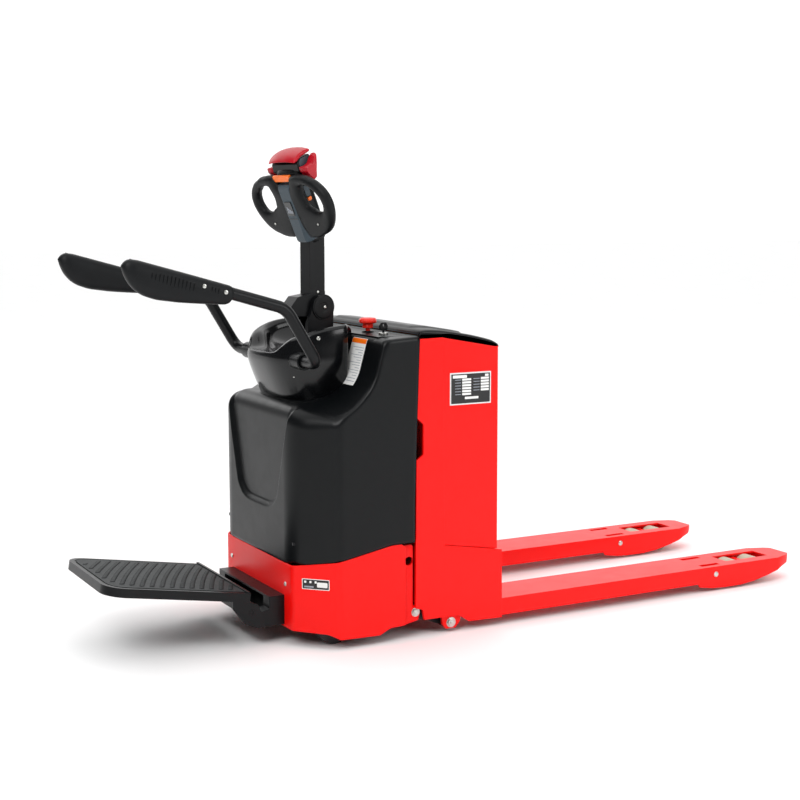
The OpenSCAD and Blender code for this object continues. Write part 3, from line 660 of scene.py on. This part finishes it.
def labels():
    upright = Matrix.Rotation(math.radians(90), 4, "X")  # local X along +X, local Y up, facing -Y
    boxes = [(0.04, 0.86, 0.40, 0.96, LABEL_WHITE), (0.87, 0.88, 0.96, 0.96, LABEL_WHITE)]
    boxes += [(0.28, 0.77 - 0.098 * i, 0.51, 0.84 - 0.098 * i, LABEL_WHITE) for i in range(6)]
    boxes += [(0.76, 0.79 - 0.098 * i, 0.97, 0.86 - 0.098 * i, LABEL_WHITE) for i in range(5)]
    boxes += [(0.35, 0.14, 0.70, 0.22, LABEL_WHITE)]
    boxes += [(0.10, 0.79 - 0.098 * i, 0.25, 0.81 - 0.098 * i, LABEL_GREY) for i in range(6)]
    boxes += [(0.57, 0.81 - 0.098 * i, 0.73, 0.83 - 0.098 * i, LABEL_GREY) for i in range(5)]
    refine("rating_plate", 0.4)
    label("rating", 138, 92, boxes, DATUM @ Matrix.Translation((-96, -343.2, 738)) @ upright, "carriage")
    toward_corner = Matrix.Rotation(math.radians(-45), 4, "Z")
    chamfer = DATUM @ Matrix.Translation((-587.6, -301.2, 192)) @ toward_corner @ upright
    dots = [(0.06 + 0.2 * i, 0.62, 0.14 + 0.2 * i, 0.86, LABEL_WHITE) for i in range(3)]
    bars = [(0.55, 0.2, 0.95, 0.75, LABEL_WHITE), (0.06, 0.14, 0.42, 0.3, LABEL_GREY)]
    label("chassis", 84, 31, dots + bars, chamfer, "chassis")
    warning_label()


def warning_label():
    """Sticker that follows the cover's sweep up to the block behind the cowl."""
    def patch(y0, y1, t0, t1, lift):
        ys, ts = np.linspace(y0, y1, 10), np.linspace(t0, t1, 26)
        aim = np.array([(-426 + 36 * t, y, 758 + 134 * t) for t in ts for y in ys])
        base = np.array((-300.0, -218.0, 780.0))
        flat = onto_field(cover_field, aim, base, 0.2, 2.5)
        flat = flat + (flat - base) / np.linalg.norm(flat - base, axis=1)[:, None] * lift
        bm = bmesh.new()
        verts = [bm.verts.new(p) for p in flat]
        for r in range(25):
            for c in range(9):
                k = r * 10 + c
                bm.faces.new((verts[k], verts[k + 1], verts[k + 11], verts[k + 10]))
        return bm
    emit("warning_label", patch(-246, -152, 0.0, 1.0, 0.7), DATUM, LABEL_WHITE, "chassis")
    emit("warning_band", patch(-244, -154, 0.87, 0.985, 1.0), DATUM, "orange", "chassis")
    lines = [patch(-238, -188 + 24 * math.sin(2.1 * i), 0.06 + 0.055 * i, 0.072 + 0.055 * i, 0.9)
             for i in range(14)]
    emit("warning_lines", joined(*lines), DATUM, LABEL_GREY, "chassis")


# ---------------------------------------------------------------- carriage
def battery_lid():
    top = smooth_line([(-268, 903), (-262, 914), (-240, 917), (-195, 914), (-150, 907), (-100, 898),
                       (-60, 889), (-20, 878), (0, 868), (2, 864)], 44)
    rings = []
    for y in [-340, -339, -336, -330, -265, -258, -252, -246, *range(-240, 241, 40), 246, 252, 258, 265, 330,
              336, 339, 340]:
        over = max(abs(y) - 328, 0) / 12
        drop = 7 * (1 - math.sqrt(1 - min(over, 1) ** 2))
        ring = []
        for x, z in top:
            raised = 6 * float(ease(0, 16, 260 - abs(y)) * ease(0, 14, x + 256) * ease(0, 16, -66 - x))
            ring.append((x, y, z + raised - drop))
        ring += [(x, y, min(z - 7, 903)) for x, z in reversed(top[3:-3])]
        rings.append(ring)
    emit("lid_shell", loft(rings), DATUM, "cover_plastic", "lid", replaces=("battery_lid",), sharp=50)
    knuckles = both(lambda: prism(circle(5, 24, (6, 866)), 200, 240))
    emit("lid_hinges", knuckles, DATUM, "cover_plastic", "lid")


def load_wheels():
    half, r = 36, 40
    tread = [(24, -half + 1), (r, -half), (r, half), (24, half - 1)]
    tyre = rounded(tread, [0, 5, 5, 0], closed=False, steps=4)
    hub = [(0.01, -half + 3), (7, -half + 3), (7, -half), (14, -half), (15, -half + 3), (22, -half + 4),
           (24, -half + 1), (24, half - 1), (22, half - 4), (15, half - 3), (14, half), (7, half),
           (7, half - 3)]
    for end in ("rear", "front"):
        for name in SIDES:
            node = f"load_wheel_{end}_{name}"
            low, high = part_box(node)
            place = Matrix.Translation((low + high) / 2) @ Matrix.Scale(MM, 4) @ AIM["+y"]
            body = BODY_OF[node]
            emit(node + "_tyre", lathe(tyre, 56), place, "load_tyre", body, replaces=(node,))
            emit(node + "_hub", lathe(hub, 40), place, "zinc", body)


def carriage():
    for node, bevel in (("fork_left", 3.0), ("fork_right", 3.0), ("battery_box", 3.0),
                        ("carriage_plates", 1.8), ("load_levers", 1.2), ("bogies", 1.2),
                        ("push_rods", 1.0), ("rockers", 2.0)):
        refine(node, bevel)


# ---------------------------------------------------------------- tiller
def tiller():
    refine("tiller_arm", 4.0)
    refine("tiller_pedestal", 3.0)
    cap = [(0, 0), (38, 0), (38, 3), (33, 5), (14, 5), (12, 3.5), (0, 3.5)]
    cap = rounded(cap, 1.2, closed=False, steps=3)
    emit("tiller_hub_caps", joined((lathe(cap, 48), at(ROW, (0, -42, 972), "-y")),
                                   (lathe(cap, 48), at(ROW, (0, 42, 972), "+y"))),
         STEERING, "black_paint", "steering")


def head():
    def section(face, half, edge, back, w):
        side = -face + edge * 1.2
        return [(-face, -half + edge, w), (-face, half - edge, w), (side, half, w), (back, half, w),
                (back, -half, w), (side, -half, w)]
    bar = loft([section(40, 33, 11, -6, -20), section(43, 35, 12, -6, -12), section(40, 38, 13, -6, 57),
                section(37, 42, 14, -6, 152), section(31, 41, 13, -6, 163)])
    emit("head_bar", bar, HEAD, "head_grey", "tiller", replaces=("tiller_head",), bevel=1.6)
    seam = prism(rectangle(-27, 56.4, 27, 57.6), -41.4, -40.2, "front")
    emit("head_bar_seam", seam, HEAD, "display", "tiller")

    def shell(c0, c1, half, w, power=3.2):
        return [((c0 + c1) / 2 + u, v, w) for u, v in superellipse((c1 - c0) / 2, half, power, 32)]
    core = loft([shell(-12, 28, 27, -16), shell(-16, 32, 36, 2), shell(-22, 36, 52, 24),
                 shell(-26, 38, 56, 70), shell(-26, 40, 56, 130), shell(-17, 42, 58, 168),
                 shell(-14, 44, 62, 192), shell(-4, 46, 60, 206)])
    emit("head_core", core, HEAD, "cover_plastic", "tiller", levels=1)
    neck = loft([shell(-26, 30, 31, -34, 4), shell(-28, 31, 32, -24, 4), shell(-26, 30, 31, -6, 4)])
    emit("head_neck", neck, HEAD, "cover_plastic", "tiller", levels=1)
    block = rounded([(-6, 190), (-2, 215), (10, 227), (48, 228), (54, 200), (44, 186)], 5)
    emit("head_top", prism(block, -71, 71), HEAD, "cover_plastic", "tiller", bevel=3)
    cheek = rounded([(2, 192), (5, 217), (14, 226), (46, 225), (50, 198)], 3)
    emit("head_cheeks", both(lambda: prism(cheek, 70.5, 73)), HEAD, "head_grey", "tiller", bevel=0.8)
    pad = rounded([(-30, 172), (-30, 190), (-21, 192), (-21, 170)], 2.5)
    emit("horn_pad", prism(pad, -45, 45), HEAD, "orange", "horn", replaces=("horn_button",), bevel=2)
    screen = rounded(rectangle(-17, 68, 19, 112), 4)
    emit("display_window", prism(screen, -41.5, -38.2, "front"), HEAD, "display", "tiller",
         replaces=("head_display",), bevel=0.6)
    bars = [prism(rectangle(-12 + 6.4 * i, 76, -8 + 6.4 * i, 84 + 4 * i), -41.9, -41.4, "front")
            for i in range(4)]
    emit("display_bars", joined(*bars), HEAD, LABEL_GREY, "tiller")
    switches()


def switches():
    paddle = rounded([(-5, 112), (-5, 146), (14, 146), (12, 112)], 6)
    thumb = rounded([(-4, 99), (-5, 110), (11, 110), (8, 99)], 4)
    emit("lift_paddles", both(lambda: prism(paddle, 54, 60)), HEAD, "head_grey", "lift_switch", bevel=1.5)
    emit("lift_thumbs", both(lambda: prism(thumb, 54, 62)), HEAD, "orange", "lift_switch",
         replaces=("lift_rocker",), bevel=1.5)
    wing = rounded([(-4, 208), (-5.5, 193), (5, 167), (13, 155), (27, 160), (35, 180), (46, 202), (57, 230),
                    (44, 223), (26, 207), (8, 205)], [4, 6, 8, 8, 6, 14, 10, 4, 8, 10, 8], steps=4)
    middle = Vector((18, 186))

    def wing_half():
        rings = []
        for q, k in ((74.5, 0.9), (76.5, 0.97), (85, 1.0), (96, 0.98), (104, 0.9), (108, 0.78)):
            rings.append([(middle.x + (u - middle.x) * k, q, middle.y + (v - middle.y) * k) for u, v in wing])
        return loft(rings)
    emit("throttle_butterfly", both(wing_half), HEAD, "crimson", "throttle",
         replaces=("throttle_wings",), sharp=50)
    rings = []
    for q in np.linspace(-72.5, 72.5, 27):
        e = abs(q) / 72.5
        fall, reach = 6.5 * e ** 2.4, 1 - 0.10 * e ** 3
        over = [(-15, 227 + 2 * e), (-13, 231), (-6, 238), (6, 244), (26, 248), (44, 249), (57, 247),
                (62, 242)]
        under = [(58, 238), (44, 239), (20, 238), (6, 235), (-3, 230), (-9, 226)]
        rings.append([(20 + (c - 20) * reach, q, w - fall) for c, w in over + under])
    emit("belly_pad", loft(rings), HEAD, "crimson", "belly", replaces=("belly_switch",), levels=1)


def hand_loops():
    """Loops whose outer and inner outlines are set by radius and angle round the hand hole's middle."""
    hole = Vector((122, 116))

    def polar(points):
        got = sorted((math.atan2(v - hole.y, u - hole.x), (Vector((u, v)) - hole).length) for u, v in points)
        angles, radii = [a for a, _ in got], [r for _, r in got]
        return lambda a: float(np.interp(a, angles, radii, period=2 * math.pi))
    outer = polar(rounded([(36, 190), (96, 190), (140, 180), (182, 158), (205, 128), (209, 96),
                           (196, 58), (166, 22), (120, 2), (60, -8), (36, -8)], 26, steps=6))
    inner = polar(rounded([(80, 158), (112, 160), (144, 146), (168, 124), (173, 102), (162, 80),
                           (142, 72), (104, 84), (80, 94)], 12, steps=6))

    def half():
        rings = []
        for i in range(72):
            a = -math.pi + 2 * math.pi * i / 72
            way = Vector((math.cos(a), math.sin(a)))
            lo, hi = hole + way * inner(a), hole + way * outer(a)
            wide = (hi - lo).length / 2
            web = float(ease(18, 40, np.array(wide)))
            ring = []
            for u, v in superellipse(wide, 15.5 - 2 * web, 2.1 + 1.6 * web, 24):
                p = (lo + hi) / 2 + way * u
                ring.append((-24 + v, p.x, p.y))
            rings.append(ring)
        return loft(rings, round_trip=True)
    emit("hand_loops", both(half), HEAD, "grip_rubber", "tiller", replaces=("handle_loops",))
    screws = [(screw_head(3.5, 1.6), at(ROW, (-38, side * 118, 40), "-x")) for side in (1, -1)]
    emit("hand_loop_screws", joined(*screws), HEAD, "zinc", "tiller")


# ---------------------------------------------------------------- side arms and platform
def arm_frame(sign):
    """Frame at the elbow: +X along the grip, +Z above it, +Y outwards."""
    base = DATUM @ Matrix.Translation((ARM_ELBOW[0], sign * ARM_HALF, ARM_ELBOW[1]))
    return base @ Matrix(((-math.cos(ARM_RISE), 0, math.sin(ARM_RISE), 0), (0, sign, 0, 0),
                          (math.sin(ARM_RISE), 0, math.cos(ARM_RISE), 0), (0, 0, 0, 1)))


# Profiles of an arm's grip: pairs of a distance from the elbow and a height or half width there
GRIP_TOP = [(168, 12), (172, 17), (180, 20), (300, 20), (450, 19), (470, 16), (478, 12), (484, 5), (489, -7)]
GRIP_BELLY = [(168, -22), (172, -29), (182, -35), (250, -50), (310, -62), (375, -71), (415, -69), (440, -60),
              (462, -45), (477, -27), (485, -15), (489, -9)]
GRIP_HALF = [(168, 17), (173, 21), (190, 23), (300, 25), (430, 25), (458, 24), (472, 20), (481, 14), (489, 4)]


def side_arms():
    length = 470
    end = (ARM_ELBOW[0] - length * math.cos(ARM_RISE), ARM_ELBOW[1] + length * math.sin(ARM_RISE))
    for name, sign in SIDES.items():
        y = sign * ARM_HALF
        corners = [(ARM_PIVOT[0], sign * 152, ARM_PIVOT[1]), (ARM_PIVOT[0], y, ARM_PIVOT[1]),
                   (ARM_ELBOW[0], y, ARM_ELBOW[1]), (end[0], y, end[1])]
        path = rounded(corners, [0, 42, 70, 0], closed=False, steps=12)
        body = "arm_" + name
        emit("arm_bend_" + name, sweep(path, circle(17, 28), (1, 0, 0.3)), DATUM, "black_paint", body,
             replaces=("arm_tube_" + name,))
        place = arm_frame(sign)
        rings = []
        for s in [168, 169.5, 172, 176, 182, *range(192, 440, 12), 440, 450, 458, 466, 472, 477, 481, 484,
                  487, 489]:
            top, belly = interp(s, *GRIP_TOP), interp(s, *GRIP_BELLY)
            mid, tall = (top + belly) / 2, (top - belly) / 2
            section = superellipse(interp(s, *GRIP_HALF), max(tall, 1), 2.5, 28)
            rings.append([(s, u, mid + v) for u, v in section])
        emit("arm_paddle_" + name, loft(rings), place, "grip_rubber", body,
             replaces=("arm_grip_" + name,), levels=1)
        ribs = []
        for s in [*range(286, 412, 11), 214, 224, 234]:
            tall = 7 + 6 * math.sin(min(max((s - 260) / 150, 0), 1) * math.pi)
            reach = interp(s, *GRIP_HALF) - 0.6
            drop = -12 if s > 260 else -4
            line = [(s - 0.8, reach, drop - tall), (s, reach + 1.4, drop), (s + 0.8, reach, drop + tall)]
            ribs.append(sweep(line, superellipse(1.6, 1.6, 2.2, 8), (1, 0, 0)))
        emit("arm_ribs_" + name, joined(*ribs), place, "grip_rubber", body)
        heads = [(screw_head(6, 3), at(ROW, (s, interp(s, *GRIP_HALF) - 0.8, -2), "+y")) for s in (194, 259)]
        emit("arm_screws_" + name, joined(*heads), place, "zinc", body)


def platform():
    refine("platform_tray", 2.2)
    refine("platform_bracket", 3.0)
    refine("platform_pin", 1.5, "black_paint")
    length, half, corner = 414, 190, 54
    corners = [(-6, -half), (-length, -half), (-length, half), (-6, half)]
    outline = rounded(corners, [4, corner, corner, 4], steps=8)
    sheet = prism(outline, -1.8, 0.6, "plan")
    studs = []
    for band in range(-2, 16):
        for step in range(-19, 20):
            y = 9.2 * step
            x = -34 - 30 * band + 0.48 * y + 0.00026 * y * y
            reach = interp(x, (-400, 112), (-370, 150), (-330, 168), (-40, 172))
            if -398 < x < -20 and abs(y) < reach:
                studs.append(stud(x, y, 0.4, -math.atan(0.48 + 0.00052 * y)))
    emit("mat_studded", joined(sheet, *studs), TREAD, "mat_rubber", "platform",
         replaces=("platform_mat",), sharp=40)
    lip = rounded([(-11, -3), (-11, 4.5), (-4, 5.5), (-0.8, 1), (-0.8, -3)], 1.2)
    emit("tread_lip", prism(lip, -206, 206), TREAD, "black_paint", "platform", bevel=1.2)


def stud(x, y, z, turn):
    """Raised oval of the mat, long in X."""
    oval, levels = superellipse(9.5, 3.3, 2.6, 10), ((1, 0), (0.92, 1.6), (0.6, 2.2))
    rings = [[(u * k, v * k, h) for u, v in oval] for k, h in levels]
    bm = loft(rings)
    place = Matrix.Translation((x, y, z)) @ Matrix.Rotation(-turn, 4, "Z")
    bmesh.ops.transform(bm, matrix=place, verts=bm.verts)
    return bm


# ---------------------------------------------------------------- studio
def area_light(name, place, target, size, power):
    data = bpy.data.lights.new(name, "AREA")
    data.shape, data.size, data.energy = "SQUARE", size, power
    obj = bpy.data.objects.new(name, data)
    obj.location = place
    obj.rotation_euler = (Vector(target) - Vector(place)).to_track_quat("-Z", "Y").to_euler()
    scene.collection.objects.link(obj)


def studio():
    yaw, pitch = math.radians(28.5), math.radians(7.4)
    ahead = Vector((math.sin(yaw) * math.cos(pitch), math.cos(yaw) * math.cos(pitch), -math.sin(pitch)))
    camera = bpy.data.objects.new("camera", bpy.data.cameras.new("camera"))
    camera.data.lens, camera.data.sensor_width = 66.73, 36
    camera.location = (-2.3829, -4.0800, 1.2696)
    camera.rotation_euler = ahead.to_track_quat("-Z", "Y").to_euler()
    scene.collection.objects.link(camera)
    scene.camera = camera

    world = bpy.data.worlds.new("studio")
    world.use_nodes = True
    nodes, links = world.node_tree.nodes, world.node_tree.links
    around = nodes.new("ShaderNodeTexCoord").outputs["Generated"]
    toward = nodes.new("ShaderNodeVectorMath")
    toward.operation = "DOT_PRODUCT"
    toward.inputs[1].default_value = (math.sin(yaw), math.cos(yaw), 0.25)
    links.new(around, toward.inputs[0])
    level = nodes.new("ShaderNodeMapRange")
    level.inputs["From Min"].default_value, level.inputs["From Max"].default_value = 0.6, 0.9
    level.inputs["To Min"].default_value, level.inputs["To Max"].default_value = 0.14, 1.2
    links.new(toward.outputs["Value"], level.inputs["Value"])
    links.new(level.outputs["Result"], nodes["Background"].inputs["Strength"])
    nodes["Background"].inputs["Color"].default_value = (1, 1, 1, 1)
    scene.world = world

    floor_look = surface("pale_floor", (0.93, 0.93, 0.93), 0.7, specular=0.1, grain_size=3, depth=0.02,
                         mottle=0.01, patch=400)
    reach = 40.0
    bm = bmesh.new()
    bm.faces.new([bm.verts.new((x, y, 0)) for x, y in rectangle(-reach, -reach, reach, reach)])
    mesh = bpy.data.meshes.new("floor")
    bm.to_mesh(mesh)
    bm.free()
    mesh.materials.append(floor_look)
    mesh.polygons.foreach_set("use_smooth", [True] * len(mesh.polygons))
    floor = bpy.data.objects.new("floor", mesh)
    scene.collection.objects.link(floor)

    sun = bpy.data.objects.new("overhead", bpy.data.lights.new("overhead", "SUN"))
    sun.data.energy, sun.data.angle = 2.4, math.radians(100)
    scene.collection.objects.link(sun)
    area_light("key", (-4.2, -3.4, 4.2), (-0.2, 0, 0.5), 2.6, 150)
    area_light("fill", (2.6, -4.6, 2.6), (0.2, 0, 0.4), 2.4, 95)
    area_light("rim", (-1.5, 4.2, 2.6), (-0.4, 0, 0.6), 2.0, 18)
    scene.view_settings.view_transform = "Standard"


# ---------------------------------------------------------------- the truck
for plain in (
    "chassis_frame", "lift_mast", "pump_unit", "lift_cylinder", "motor_controller", "steering_bearing",
    "link_pins", "drive_gearbox", "drive_motor", "steering_column", "drive_wheel_hub", "drive_tyre",
    "caster_fork_left",
    "caster_fork_right", "caster_wheel_left", "caster_wheel_right", "battery", "lift_rod", "guide_rollers",
):
    frame["nodes"][plain].data.materials[0] = LOOKS[SLOT_OF[plain]]

chassis_skirt()
front_cover()
cowl()
top_tray()
carriage()
battery_lid()
load_wheels()
tiller()
head()
hand_loops()
side_arms()
platform()
fasteners()
labels()
studio()
